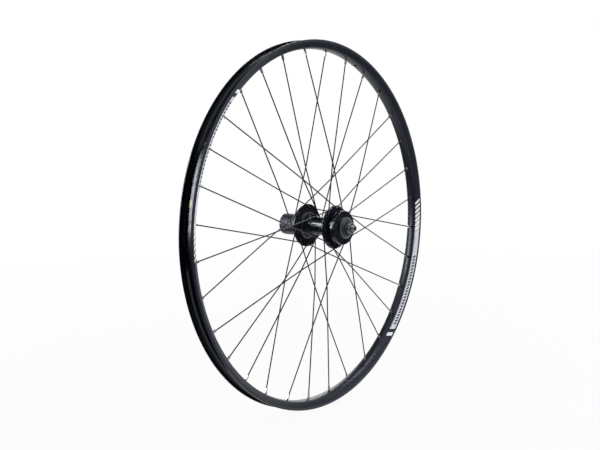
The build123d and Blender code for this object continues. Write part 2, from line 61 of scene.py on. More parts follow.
# A closed section with rounded corners. Each corner (radius, along, rounding) becomes an arc
# tangent to its two sides, swung between the tangent points about the arc's centre.
def roundedSection(corners, steps=4):
    table = np.array(corners, float)
    spot, bend = table[:, :2], table[:, 2]
    toLast = np.roll(spot, 1, 0) - spot
    toNext = np.roll(spot, -1, 0) - spot
    toLast /= np.linalg.norm(toLast, axis=1)[:, None]
    toNext /= np.linalg.norm(toNext, axis=1)[:, None]
    halfAngle = np.arccos(np.clip((toLast * toNext).sum(1), -1, 1)) / 2
    reach = bend / np.tan(halfAngle)
    inward = toLast + toNext
    inward /= np.maximum(np.linalg.norm(inward, axis=1), 1e-9)[:, None]
    centre = spot + inward * (bend / np.sin(halfAngle))[:, None]
    first = spot + toLast * reach[:, None] - centre
    last = spot + toNext * reach[:, None] - centre
    swing = np.maximum(np.pi - 2 * halfAngle, tiny)[:, None]
    share = np.linspace(0, 1, steps + 1)
    fromFirst = np.sin((1 - share) * swing) / np.sin(swing)
    fromLast = np.sin(share * swing) / np.sin(swing)
    arcs = centre[:, None] + fromFirst[..., None] * first[:, None] + fromLast[..., None] * last[:, None]
    line = arcs.reshape(-1, 2)
    return line[np.linalg.norm(line - np.roll(line, 1, 0), axis=1) > tiny]


# More points on the straight runs of a closed section, a stride apart where the test on (r, along) holds
def finerSection(line, stride, where):
    loop = np.vstack([line, line[:1]])
    run = np.concatenate([[0], np.cumsum(np.linalg.norm(np.diff(loop, axis=0), axis=1))])
    extra = np.arange(0, run[-1], stride)
    extra = extra[where(np.interp(extra, run, loop[:, 0]), np.interp(extra, run, loop[:, 1]))]
    stops = np.union1d(run, extra)[:-1]
    stops = stops[np.concatenate([[True], np.diff(stops) > tiny])]
    return np.stack([np.interp(stops, run, loop[:, 0]), np.interp(stops, run, loop[:, 1])], 1)


# A section turned around the axle: x = r cos(angle), z = r sin(angle), y = along.
# reshape(r, along, angle) moves the surface afterwards, for flats, splines, threads and dimples.
def turned(section, turns, reshape=None, hollow=False):
    angles = np.linspace(0, fullTurn, turns, endpoint=False) if np.isscalar(turns) else turns
    r, angle = np.meshgrid(section[:, 0], angles, indexing="ij")
    along = np.repeat(section[:, 1:2], len(angles), 1)
    if reshape:
        r, along = reshape(r, along, angle)
    points = np.stack([r * np.cos(angle), along, r * np.sin(angle)], -1).reshape(-1, 3)
    rows, columns = r.shape
    row, column = np.meshgrid(np.arange(rows), np.arange(columns), indexing="ij")
    nextRow, nextColumn = (row + 1) % rows, (column + 1) % columns
    faces = np.stack(
        [
            row * columns + column,
            nextRow * columns + column,
            nextRow * columns + nextColumn,
            row * columns + nextColumn,
        ],
        -1,
    ).reshape(-1, 4)
    nextSpot = np.roll(section, -1, 0)
    area = (section[:, 0] * nextSpot[:, 1] - nextSpot[:, 0] * section[:, 1]).sum()
    if (area < 0) != hollow:
        faces = faces[:, ::-1]
    return points, [faces]


# Faces of closed bars whose points come as two rings each: the side walls, then the low and the high ends
def barFaces(count, sides):
    first = np.arange(count)[:, None] * 2 * sides
    here = np.arange(sides)[None]
    after = (here + 1) % sides
    walls = np.stack([first + here, first + after, first + sides + after, first + sides + here], -1)
    return [walls.reshape(-1, 4), first + here[:, ::-1], first + sides + here]


# Straight round bars for cutting holes: at both ends of each axis a ring of points, radius times
# (cos(angle) across + sin(angle) over), closed by flat ends
def roundBars(starts, ends, radius, sides=28):
    starts, ends = np.atleast_2d(starts), np.atleast_2d(ends)
    axis = (ends - starts) / np.linalg.norm(ends - starts, axis=1)[:, None]
    helper = np.where(np.abs(axis[:, 1:2]) < 0.8, [[0.0, 1.0, 0.0]], [[1.0, 0.0, 0.0]])
    across = np.cross(axis, helper)
    across /= np.linalg.norm(across, axis=1)[:, None]
    over = np.cross(axis, across)
    angle = np.linspace(0, fullTurn, sides, endpoint=False)
    ring = radius * (
        np.cos(angle)[None, :, None] * across[:, None] + np.sin(angle)[None, :, None] * over[:, None]
    )
    points = np.stack([starts[:, None] + ring, ends[:, None] + ring], 1).reshape(-1, 3)
    return points, barFaces(len(starts), sides)


# Flat outlines, one row of points each, carried straight along the axle from low to high
def carriedOutlines(outlines, low, high):
    count, sides = outlines.shape[:2]
    ends = np.stack([outlines, outlines], 1)
    along = np.broadcast_to(np.array([low, high])[None, :, None], ends.shape[:3])
    points = np.stack([ends[..., 0], along, ends[..., 1]], -1).reshape(-1, 3)
    return points, barFaces(count, sides)


# Height of a triangular ridge, 0 in the valleys and 1 on the crests, once per whole step
def ridge(steps):
    return 1 - np.abs(2 * (steps - np.floor(steps)) - 1)


# One mesh from several surfaces, each its points in millimetres and its blocks of faces
def newMesh(name, surfaces):
    points, faces, start = [], [], 0
    for spots, blocks in surfaces:
        points.append(spots * mm)
        faces += [face for block in blocks for face in (block + start).tolist()]
        start += len(spots)
    mesh = bpy.data.meshes.new(name)
    mesh.from_pydata(np.concatenate(points), [], faces)
    return mesh


# Points that meet are welded, and faces shaded smooth except across edges sharper than the crease angle
def smoothFaces(mesh, crease):
    work = bmesh.new()
    work.from_mesh(mesh)
    bmesh.ops.remove_doubles(work, verts=work.verts, dist=weld)
    work.to_mesh(mesh)
    work.free()
    mesh.polygons.foreach_set("use_smooth", np.ones(len(mesh.polygons), bool))
    mesh.set_sharp_from_angle(angle=math.radians(crease))
    mesh.update()


# A finished piece at the origin: welded, smooth up to the crease angle, drilled by the cutters
def makePiece(name, surfaces, body, slotName, stands=(), cutters=(), crease=35):
    piece = bpy.data.objects.new(name, newMesh(name, surfaces))
    bpy.context.scene.collection.objects.link(piece)
    smoothFaces(piece.data, crease)
    if cutters:
        tool = bpy.data.objects.new(name + "Tool", newMesh(name + "Tool", cutters))
        bpy.context.scene.collection.objects.link(tool)
        work = bmesh.new()
        work.from_mesh(tool.data)
        bmesh.ops.recalc_face_normals(work, faces=work.faces)
        work.to_mesh(tool.data)
        work.free()
        holes = piece.modifiers.new("holes", "BOOLEAN")
        holes.operation = "DIFFERENCE"
        holes.solver = "EXACT"
        holes.object = tool
        solid = piece.evaluated_get(bpy.context.evaluated_depsgraph_get())
        drilled = bpy.data.meshes.new_from_object(solid)
        piece.modifiers.clear()
        piece.data = drilled
        drilled.name = name
        bpy.data.objects.remove(tool)
        smoothFaces(drilled, crease)
    piece.data.materials.clear()
    piece.data.materials.append(finishes[slotName])
    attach(piece, body)
    if stands:
        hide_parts(*stands)
    return piece


# Shader building: a value that is a socket is linked, any other is set on the socket itself
def feed(tree, value, socket):
    if isinstance(value, bpy.types.NodeSocket):
        tree.links.new(value, socket)
    else:
        socket.default_value = value


def put(tree, kind, sockets=None, **settings):
    node = tree.nodes.new("ShaderNode" + kind)
    for key, value in settings.items():
        setattr(node, key, value)
    for key, value in (sockets or {}).items():
        feed(tree, value, node.inputs[key])
    return node


def calc(tree, operation, *values):
    node = put(tree, "Math", operation=operation)
    for socket, value in zip(node.inputs, values):
        feed(tree, value, socket)
    return node.outputs[0]


# A mask that holds where every given mask holds: their product
def allOf(tree, mask, *others):
    for other in others:
        mask = calc(tree, "MULTIPLY", mask, other)
    return mask


def spread(tree, value, fromLow, fromHigh, toLow, toHigh):
    sockets = {"Value": value, "From Min": fromLow, "From Max": fromHigh, "To Min": toLow, "To Max": toHigh}
    return put(tree, "MapRange", sockets).outputs["Result"]


def mixColours(tree, share, first, second):
    node = put(tree, "Mix", data_type="RGBA")
    feed(tree, share, node.inputs[0])
    feed(tree, first, node.inputs[6])
    feed(tree, second, node.inputs[7])
    return node.outputs[2]


def newGroup(name, inputs, outputs):
    group = bpy.data.node_groups.new(name, "ShaderNodeTree")
    for title, value in inputs.items():
        socket = group.interface.new_socket(name=title, in_out="INPUT", socket_type="NodeSocketFloat")
        socket.default_value = value
    for title in outputs:
        group.interface.new_socket(name=title, in_out="OUTPUT", socket_type="NodeSocketFloat")
    return group, group.nodes.new("NodeGroupInput"), group.nodes.new("NodeGroupOutput")


def place(tree, group, **sockets):
    node = put(tree, "Group", sockets, node_tree=group)
    return node.outputs


# The emptied node tree of a material or world
def blankTree(owner):
    owner.use_nodes = True
    owner.node_tree.nodes.clear()
    return owner.node_tree


# Where a point lies around the wheel: its angle, its distance from the axle and its place along it
aroundAxle, groupIn, groupOut = newGroup("aroundAxle", {}, ["Angle", "Radius", "Along"])
spot = put(aroundAxle, "SeparateXYZ", {0: put(aroundAxle, "TexCoord").outputs["Object"]}).outputs
feed(aroundAxle, calc(aroundAxle, "ARCTAN2", spot[2], spot[0]), groupOut.inputs["Angle"])
flatSpot = put(aroundAxle, "CombineXYZ", {0: spot[0], 2: spot[2]}).outputs[0]
spotLength = put(aroundAxle, "VectorMath", {0: flatSpot}, operation="LENGTH").outputs["Value"]
feed(aroundAxle, spotLength, groupOut.inputs["Radius"])
feed(aroundAxle, spot[1], groupOut.inputs["Along"])

# Lathe marks: a fine noise on distance plus place along, so it makes rings on faces and barrels alike
turningMarks, groupIn, groupOut = newGroup("turningMarks", {"Fineness": 2600.0}, ["Rings"])
where = place(turningMarks, aroundAxle)
ringPlace = calc(turningMarks, "ADD", where["Radius"], where["Along"])
rings = put(
    turningMarks,
    "TexNoise",
    {"W": ringPlace, "Scale": groupIn.outputs["Fineness"], "Detail": 3.0, "Roughness": 0.6},
    noise_dimensions="1D",
)
feed(turningMarks, rings.outputs[0], groupOut.inputs["Rings"])

# Drawn lines: noise stretched around the wheel, fine across the section, with no seam
drawnLines, groupIn, groupOut = newGroup("drawnLines", {"Fineness": 1800.0}, ["Lines"])
spot = put(drawnLines, "SeparateXYZ", {0: put(drawnLines, "TexCoord").outputs["Object"]}).outputs
where = place(drawnLines, aroundAxle)
stretched = put(
    drawnLines,
    "CombineXYZ",
    {
        0: calc(drawnLines, "MULTIPLY", spot[0], 14.0),
        1: calc(drawnLines, "MULTIPLY", spot[1], groupIn.outputs["Fineness"]),
        2: calc(drawnLines, "MULTIPLY", spot[2], 14.0),
    },
)
lines = put(
    drawnLines,
    "TexNoise",
    {
        "Vector": stretched.outputs[0],
        "W": calc(drawnLines, "MULTIPLY", where["Radius"], groupIn.outputs["Fineness"]),
        "Scale": 1.0,
        "Detail": 3.0,
    },
    noise_dimensions="4D",
)
feed(drawnLines, lines.outputs[0], groupOut.inputs["Lines"])

# Handling film: broad soft patches where hands and packing have touched
handlingFilm, groupIn, groupOut = newGroup("handlingFilm", {"Size": 45.0, "Cover": 0.5}, ["Film"])
patches = put(
    handlingFilm,
    "TexNoise",
    {
        "Vector": put(handlingFilm, "TexCoord").outputs["Object"],
        "Scale": groupIn.outputs["Size"],
        "Detail": 4.0,
        "Distortion": 0.6,
    },
)
filmEdge = calc(handlingFilm, "SUBTRACT", 1.0, groupIn.outputs["Cover"])
filmFull = calc(handlingFilm, "ADD", filmEdge, 0.25)
film = spread(handlingFilm, patches.outputs[0], filmEdge, filmFull, 0.0, 1.0)
feed(handlingFilm, film, groupOut.inputs["Film"])

# Fine dust: small specks of uneven size, thinned out by a broader noise
fineDust, groupIn, groupOut = newGroup("fineDust", {"Size": 900.0, "Cover": 0.2}, ["Dust"])
dustSpot = put(fineDust, "TexCoord").outputs["Object"]
specks = put(fineDust, "TexVoronoi", {"Vector": dustSpot, "Scale": groupIn.outputs["Size"]})
drift = put(fineDust, "TexNoise", {"Vector": dustSpot, "Scale": 70.0, "Detail": 3.0})
speckReach = calc(fineDust, "MULTIPLY", groupIn.outputs["Cover"], drift.outputs[0])
dust = spread(fineDust, specks.outputs["Distance"], 0.0, speckReach, 1.0, 0.0)
feed(fineDust, dust, groupOut.inputs["Dust"])

# Grain: an even fine noise for blasted, plated and moulded skins
skinGrain, groupIn, groupOut = newGroup("skinGrain", {"Fineness": 1500.0}, ["Grain"])
grain = put(
    skinGrain,
    "TexNoise",
    {
        "Vector": put(skinGrain, "TexCoord").outputs["Object"],
        "Scale": groupIn.outputs["Fineness"],
        "Detail": 4.0,
        "Roughness": 0.65,
    },
)
feed(skinGrain, grain.outputs[0], groupOut.inputs["Grain"])

patterns = {
    "rings": (turningMarks, "Rings"),
    "lines": (drawnLines, "Lines"),
    "grain": (skinGrain, "Grain"),
}
finishes = {}


# One finish: two tones drift with the pattern, the film and dust lift them, and the pattern sets
# roughness and relief
def makeFinish(slotName, look):
    material = bpy.data.materials.new(slotName + "Finish")
    tree = blankTree(material)
    shader = put(tree, "BsdfPrincipled")
    put(tree, "OutputMaterial", {"Surface": shader.outputs[0]})
    group, title = patterns[look["pattern"]]
    pattern = place(tree, group, Fineness=look["fineness"])[title]
    film = place(tree, handlingFilm, Size=look["filmSize"], Cover=look["filmCover"])["Film"]
    dust = place(tree, fineDust, Size=look["dustSize"], Cover=look["dustCover"])["Dust"]
    drift = spread(tree, pattern, 0.3, 0.7, 0.0, 1.0)
    tone = mixColours(tree, drift, (*look["tones"][0], 1), (*look["tones"][1], 1))
    tone = mixColours(tree, calc(tree, "MULTIPLY", film, look["filmShare"]), tone, (*look["filmTone"], 1))
    tone = mixColours(tree, calc(tree, "MULTIPLY", dust, look["dustShare"]), tone, (*look["dustTone"], 1))
    feed(tree, tone, shader.inputs["Base Color"])
    smooth, rough = look["roughness"]
    gloss = spread(tree, pattern, 0.25, 0.75, smooth, rough)
    gloss = calc(tree, "ADD", gloss, calc(tree, "MULTIPLY", film, look["filmRough"]))
    feed(tree, gloss, shader.inputs["Roughness"])
    shader.inputs["Metallic"].default_value = look["metallic"]
    shader.inputs["Specular IOR Level"].default_value = look["specular"]
    shader.inputs["Specular Tint"].default_value = (*look["tint"], 1)
    heights = {"Height": pattern, "Strength": look["relief"], "Distance": look["depth"] * mm}
    feed(tree, put(tree, "Bump", heights).outputs[0], shader.inputs["Normal"])
    finishes[slotName] = material
    return tree, shader, tone, gloss


# Looks: fineness and sizes count per metre, depth is in millimetres, tones are linear colours
plainFilm = {
    "filmSize": 45.0,
    "filmCover": 0.48,
    "filmShare": 0.1,
    "filmTone": (0.05, 0.05, 0.055),
    "filmRough": 0.05,
    "tint": (1.0, 1.0, 1.0),
}
plainDust = {"dustSize": 900.0, "dustCover": 0.25, "dustShare": 0.35, "dustTone": (0.28, 0.27, 0.26)}

rimLook = {
    **plainFilm,
    **plainDust,
    "pattern": "lines",
    "fineness": 1500.0,
    "tones": ((0.0135, 0.015, 0.022), (0.0185, 0.0205, 0.03)),
    "roughness": (0.25, 0.33),
    "dustCover": 0.03,
    "metallic": 0.0,
    "specular": 0.35,
    "tint": (0.78, 0.87, 1.0),
    "relief": 0.03,
    "depth": 0.02,
}
# The tyre channel, darker than the sidewalls: partly its own black finish, partly painted shade in the
# recess between the flanges. Inside this half width and beyond this radius
channelShadeLook = {"half": 0.0113, "from": 0.2868, "tone": (0.0015, 0.0024, 0.0058), "roughness": 0.1}
# Print on both sidewalls, twice around: slanted bars that fill up towards a long pale band
printLook = {
    "start": math.radians(175.0),
    "repeat": math.pi,
    "barsEnd": math.radians(10.8),
    "bandEnd": math.radians(49.5),
    "dashFrom": math.radians(20.0),
    "dashTo": math.radians(48.0),
    "dashStep": math.radians(1.2),
    "dashFill": 0.6,
    "dashMiddle": 0.2889,
    "dashHalf": 0.002,
    "closing": (math.radians(51.0), math.radians(52.5)),
    "barCount": 7.0,
    "barFill": (0.52, 0.93),
    "slant": 3.0,
    "inner": 0.2841,
    "outer": 0.2927,
    "wallFoot": (0.2851, 0.0092),
    "wallSlope": 0.446,
    "wallDepth": 0.001,
    "white": (0.9, 0.91, 0.92),
    "pale": (0.62, 0.64, 0.7),
    "inkFineness": 700.0,
    "inkDrift": 0.3,
    "roughness": 0.38,
}
tree, shader, tone, gloss = makeFinish("rim", rimLook)
where = place(tree, aroundAxle)
radius, offMiddle = where["Radius"], calc(tree, "ABSOLUTE", where["Along"])
footRadius, footHalf = printLook["wallFoot"]
wallStart = footHalf - printLook["wallDepth"] - footRadius * printLook["wallSlope"]
wallHalf = calc(tree, "MULTIPLY_ADD", radius, printLook["wallSlope"], wallStart)
inShadedChannel = allOf(
    tree,
    calc(tree, "LESS_THAN", offMiddle, calc(tree, "MINIMUM", wallHalf, channelShadeLook["half"])),
    calc(tree, "GREATER_THAN", radius, channelShadeLook["from"]),
)
# Painted shade: the base tone is darkened inside the channel's recess, partly standing in for its own black
# finish
tone = mixColours(tree, inShadedChannel, tone, (*channelShadeLook["tone"], 1))
gloss = spread(tree, inShadedChannel, 0.0, 1.0, gloss, channelShadeLook["roughness"])
# The run along the print is the angle from its start, sheared by the slant over the radius
sheared = calc(tree, "SUBTRACT", radius, printLook["outer"])
slanted = calc(tree, "MULTIPLY_ADD", sheared, printLook["slant"], where["Angle"])
run = calc(tree, "WRAP", calc(tree, "SUBTRACT", slanted, printLook["start"]), printLook["repeat"], 0.0)
onWall = allOf(
    tree,
    calc(tree, "GREATER_THAN", radius, printLook["inner"]),
    calc(tree, "LESS_THAN", radius, printLook["outer"]),
    calc(tree, "GREATER_THAN", offMiddle, wallHalf),
)
inBars = calc(tree, "LESS_THAN", run, printLook["barsEnd"])
barStep = calc(tree, "FRACT", calc(tree, "MULTIPLY", run, printLook["barCount"] / printLook["barsEnd"]))
barFill = spread(tree, run, 0.0, printLook["barsEnd"], *printLook["barFill"])
closingFrom, closingTo = printLook["closing"]
closing = calc(tree, "COMPARE", run, (closingFrom + closingTo) / 2, (closingTo - closingFrom) / 2)
bars = calc(tree, "ADD", allOf(tree, inBars, calc(tree, "LESS_THAN", barStep, barFill)), closing)
bars = calc(tree, "MULTIPLY", bars, onWall)
dashStep = calc(tree, "FRACT", calc(tree, "DIVIDE", run, printLook["dashStep"]))
dashes = allOf(
    tree,
    calc(tree, "LESS_THAN", dashStep, printLook["dashFill"]),
    calc(tree, "GREATER_THAN", run, printLook["dashFrom"]),
    calc(tree, "LESS_THAN", run, printLook["dashTo"]),
    calc(tree, "COMPARE", radius, printLook["dashMiddle"], printLook["dashHalf"]),
)
inBand = allOf(
    tree,
    calc(tree, "SUBTRACT", 1.0, inBars),
    calc(tree, "LESS_THAN", run, printLook["bandEnd"]),
    calc(tree, "SUBTRACT", 1.0, dashes),
    onWall,
)
ink = place(tree, skinGrain, Fineness=printLook["inkFineness"])["Grain"]
inkShare = spread(tree, ink, 0.3, 0.7, 0.0, printLook["inkDrift"])
paleInk = mixColours(tree, inkShare, (*printLook["pale"], 1), (*printLook["white"], 1))
tone = mixColours(tree, bars, tone, (*printLook["white"], 1))
tone = mixColours(tree, inBand, tone, paleInk)
feed(tree, tone, shader.inputs["Base Color"])
printed = calc(tree, "ADD", bars, inBand)
printGloss = spread(tree, printed, 0.0, 1.0, gloss, printLook["roughness"])
feed(tree, printGloss, shader.inputs["Roughness"])

stripLook = {
    **plainFilm,
    **plainDust,
    "pattern": "grain",
    "fineness": 420.0,
    "tones": ((0.0014, 0.002, 0.0042), (0.0028, 0.0036, 0.0068)),
    "roughness": (0.2, 0.28),
    "dustCover": 0.06,
    "metallic": 0.0,
    "specular": 0.3,
    "relief": 0.03,
    "depth": 0.05,
    "tint": (0.85, 0.9, 1.0),
}
tree, shader, tone, gloss = makeFinish("rim_strip", stripLook)
# One small colour patch on the strip, a rectangle in angle and place along the axle
patchLook = {
    "angle": math.radians(11.2),
    "reach": math.radians(1.0),
    "along": -0.0010,
    "half": 0.0024,
    "colour": (0.55, 0.62, 0.06),
}
where = place(tree, aroundAxle)
patch = allOf(
    tree,
    calc(tree, "COMPARE", where["Angle"], patchLook["angle"], patchLook["reach"]),
    calc(tree, "COMPARE", where["Along"], patchLook["along"], patchLook["half"]),
)
feed(tree, mixColours(tree, patch, tone, (*patchLook["colour"], 1)), shader.inputs["Base Color"])

nippleLook = {
    **plainFilm,
    **plainDust,
    "pattern": "grain",
    "fineness": 1800.0,
    "tones": ((0.32, 0.323, 0.33), (0.44, 0.444, 0.452)),
    "roughness": (0.2, 0.34),
    "metallic": 1.0,
    "specular": 0.5,
    "filmTone": (0.34, 0.34, 0.34),
    "relief": 0.1,
    "depth": 0.02,
}
makeFinish("nipple", nippleLook)

spokeLook = {
    **plainFilm,
    **plainDust,
    "pattern": "grain",
    "fineness": 900.0,
    "tones": ((0.006, 0.0066, 0.009), (0.012, 0.0128, 0.0165)),
    "roughness": (0.1, 0.16),
    "dustCover": 0.05,
    "metallic": 0.0,
    "specular": 0.4,
    "relief": 0.1,
    "depth": 0.02,
}
makeFinish("spoke", spokeLook)

hubLook = {
    **plainFilm,
    **plainDust,
    "pattern": "rings",
    "fineness": 1400.0,
    "tones": ((0.0075, 0.0085, 0.013), (0.013, 0.0145, 0.0215)),
    "roughness": (0.14, 0.18),
    "dustCover": 0.05,
    "metallic": 0.0,
    "specular": 0.5,
    "tint": (0.82, 0.88, 1.0),
    "relief": 0.004,
    "depth": 0.01,
}
makeFinish("hub", hubLook)

capLook = {
    **plainFilm,
    **plainDust,
    "pattern": "rings",
    "fineness": 2200.0,
    "tones": ((0.018, 0.021, 0.031), (0.034, 0.039, 0.053)),
    "roughness": (0.24, 0.34),
    "metallic": 0.0,
    "specular": 0.35,
    "relief": 0.3,
    "depth": 0.02,
}
tree, shader, tone, gloss = makeFinish("dust_cap", capLook)
# A paler ring painted around the cover's edge: a painted highlight standing in for the edge's sheen
capSheenRing = {"middle": 0.0164, "half": 0.0007, "tone": (0.085, 0.092, 0.108)}
where = place(tree, aroundAxle)
paintedSheen = calc(tree, "COMPARE", where["Radius"], capSheenRing["middle"], capSheenRing["half"])
# Painted highlight: the cover's edge ring is mixed towards a paler tone
feed(tree, mixColours(tree, paintedSheen, tone, (*capSheenRing["tone"], 1)), shader.inputs["Base Color"])

sealLook = {
    **plainFilm,
    **plainDust,
    "pattern": "grain",
    "fineness": 2400.0,
    "tones": ((0.008, 0.008, 0.008), (0.016, 0.016, 0.016)),
    "roughness": (0.55, 0.75),
    "metallic": 0.0,
    "specular": 0.35,
    "relief": 0.35,
    "depth": 0.03,
}
makeFinish("seal", sealLook)

freehubLook = {
    **plainFilm,
    **plainDust,
    "pattern": "rings",
    "fineness": 1800.0,
    "tones": ((0.05, 0.056, 0.073), (0.08, 0.089, 0.112)),
    "roughness": (0.36, 0.5),
    "metallic": 0.4,
    "specular": 0.25,
    "filmTone": (0.05, 0.05, 0.052),
    "dustCover": 0.12,
    "relief": 0.2,
    "depth": 0.02,
}
makeFinish("freehub", freehubLook)

hardSteelLook = {
    **freehubLook,
    "tones": ((0.26, 0.26, 0.27), (0.36, 0.36, 0.37)),
    "roughness": (0.22, 0.36),
    "metallic": 1.0,
    "specular": 0.5,
}
makeFinish("hard_steel", hardSteelLook)

springLook = {
    **freehubLook,
    "pattern": "grain",
    "tones": ((0.42, 0.42, 0.42), (0.54, 0.54, 0.53)),
    "roughness": (0.18, 0.3),
    "metallic": 1.0,
    "specular": 0.5,
}
makeFinish("spring_steel", springLook)

axleLook = {
    **plainFilm,
    **plainDust,
    "pattern": "rings",
    "fineness": 2400.0,
    "tones": ((0.16, 0.155, 0.172), (0.27, 0.262, 0.285)),
    "roughness": (0.3, 0.44),
    "metallic": 0.8,
    "specular": 0.5,
    "relief": 0.3,
    "depth": 0.02,
}
makeFinish("axle", axleLook)

spacerLook = {
    **plainFilm,
    **plainDust,
    "pattern": "rings",
    "fineness": 2600.0,
    "tones": ((0.13, 0.133, 0.14), (0.21, 0.214, 0.222)),
    "roughness": (0.24, 0.38),
    "metallic": 1.0,
    "specular": 0.5,
    "filmTone": (0.2, 0.2, 0.2),
    "relief": 0.3,
    "depth": 0.02,
}
makeFinish("spacer", spacerLook)

locknutLook = {
    **spacerLook,
    "tones": ((0.2, 0.204, 0.212), (0.3, 0.305, 0.315)),
    "roughness": (0.22, 0.34),
}
makeFinish("locknut", locknutLook)

raceLook = {
    **spacerLook,
    "tones": ((0.42, 0.42, 0.43), (0.55, 0.55, 0.56)),
    "roughness": (0.14, 0.26),
}
makeFinish("race", raceLook)

ballLook = {
    **raceLook,
    "pattern": "grain",
    "tones": ((0.6, 0.6, 0.61), (0.7, 0.7, 0.71)),
    "roughness": (0.06, 0.12),
}
makeFinish("ball", ballLook)

for node in cadNodes.values():
    slotName = node.data.materials[0].name.split(".")[0]
    if slotName in finishes:
        node.data.materials[0] = finishes[slotName]
print("finishes made:", len(finishes))

# Lacing: nipples stand evenly around the rim, and each spoke runs three crosses away to its flange
lacing = {
    "count": 32,
    "firstNipple": 5.625,
    "crossTurn": 67.5,
    "holeCircle": 30.5,
    "flanges": (-21.0, 37.5),
    "flangeThickness": 3.2,
    "holeRadius": 1.3,
    "drillPast": 0.6,
}
number = np.arange(lacing["count"])
nippleAngle = np.radians(lacing["firstNipple"] + number * 360 / lacing["count"])
flangeAlong = np.where(number % 2 == 1, lacing["flanges"][1], lacing["flanges"][0])
turnWay = np.where(number // 2 % 2 == 1, 1, -1)
hubAngle = nippleAngle + turnWay * math.radians(lacing["crossTurn"])
hubHoles = np.stack(
    [lacing["holeCircle"] * np.cos(hubAngle), flangeAlong, lacing["holeCircle"] * np.sin(hubAngle)], -1
)
radial = np.stack([np.cos(nippleAngle), np.zeros_like(nippleAngle), np.sin(nippleAngle)], -1)

# Rim: a hollow section turned around the axle. One half is listed from the well to the spoke bed, and
# mirrored. A drill runs between two radii, or from below to above the nipple's seat.
rimShape = {
    "turns": 480,
    "half": (
        (288.8, 5.5, 0.5),
        (292.0, 7.5, 0.8),
        (292.0, 11.15, 0.7),
        (296.1, 11.15, 0.5),
        (296.8, 10.45, 0.3),
        (297.8, 10.45, 0.45),
        (297.8, 12.9, 0.6),
        (293.4, 12.9, 0.3),
        (285.1, 9.2, 4.2),
    ),
    "bedCrown": 283.2,
    "bedSteps": 15,
    "bedShare": 0.72,
    "chamberTurns": 240,
    "chamber": ((287.6, 6.17, 0.3), (290.8, 8.17, 0.3), (290.8, 10.24, 0.3), (286.6, 8.37, 0.3)),
    "chamberCrown": 285.2,
    "chamberSteps": 9,
    "nippleSeat": 284.7,
    "nippleHole": 2.12,
    "nippleDrill": (6.0, 2.4),
    "accessHole": 4.3,
    "accessDrill": (286.2, 293.0),
    "valveAngle": 112.5,
    "valveHole": 3.25,
    "valveDrill": (276.0, 293.0),
}


# A half section, the bed's arc, and the mirrored half. The arc's radius is (half chord squared + rise
# squared) over twice the rise. It stops short of the corners, which are rounded.
def mirroredSection(half, crown, steps):
    half = np.array(half)
    footRadius, footHalf = half[-1, :2]
    rise = footRadius - crown
    arcRadius = (footHalf**2 + rise**2) / (2 * rise)
    swing = rimShape["bedShare"] * math.asin(footHalf / arcRadius)
    turn = np.linspace(swing, -swing, steps)
    bed = np.stack([crown + arcRadius * (1 - np.cos(turn)), arcRadius * np.sin(turn), 0 * turn], 1)
    return roundedSection(np.vstack([half, bed, (half * [1, -1, 1])[::-1]]))


rimSection = mirroredSection(rimShape["half"], rimShape["bedCrown"], rimShape["bedSteps"])
chamberSection = mirroredSection(rimShape["chamber"], rimShape["chamberCrown"], rimShape["chamberSteps"])
valveTurn = math.radians(rimShape["valveAngle"])
valveWay = np.array([math.cos(valveTurn), 0, math.sin(valveTurn)])
nippleSeats = radial * rimShape["nippleSeat"]
towardsRim = nippleSeats - hubHoles
towardsRim /= np.linalg.norm(towardsRim, axis=1)[:, None]
below, above = rimShape["nippleDrill"]
nippleDrill = nippleSeats - towardsRim * below, nippleSeats + towardsRim * above
accessDrill = [radial * reach for reach in rimShape["accessDrill"]]
valveDrill = [valveWay * reach for reach in rimShape["valveDrill"]]
rimCutters = [
    roundBars(*nippleDrill, rimShape["nippleHole"], 20),
    roundBars(*accessDrill, rimShape["accessHole"], 24),
    roundBars(*valveDrill, rimShape["valveHole"], 32),
]
makePiece(
    "rimShell",
    [
        turned(rimSection, rimShape["turns"]),
        turned(chamberSection, rimShape["chamberTurns"], hollow=True),
    ],
    "wheel",
    "rim",
    ["rim"],
    rimCutters,
    crease=28,
)
print("rim turned and drilled")

# Rim strip: a thin band on the well's floor that sinks a little over each access hole
stripShape = {
    "turns": 960,
    "section": ((288.82, -5.3, 0.1), (289.6, -5.3, 0.35), (289.6, 5.3, 0.35), (288.82, 5.3, 0.1)),
    "stride": 0.9,
    "dimple": 0.32,
    "dimpleWidth": 2.5,
    "valveDrill": (286.0, 292.0),
}


# The band drops by a bell curve of the distance from each access hole's centre
def dimpledBand(r, along, angle):
    step = fullTurn / lacing["count"]
    away = np.mod(angle - nippleAngle[0] + step / 2, step) - step / 2
    bell = np.exp(-((away * r) ** 2 + along**2) / (2 * stripShape["dimpleWidth"] ** 2))
    return r - stripShape["dimple"] * bell, along


stripSection = finerSection(
    roundedSection(stripShape["section"]),
    stripShape["stride"],
    lambda r, along: r > 0,
)
valveDrill = [valveWay * reach for reach in stripShape["valveDrill"]]
makePiece(
    "rimStrip",
    [turned(stripSection, stripShape["turns"], dimpledBand)],
    "wheel",
    "rim_strip",
    ["rim_strip"],
    [roundBars(*valveDrill, rimShape["valveHole"], 32)],
)
print("rim strip laid")

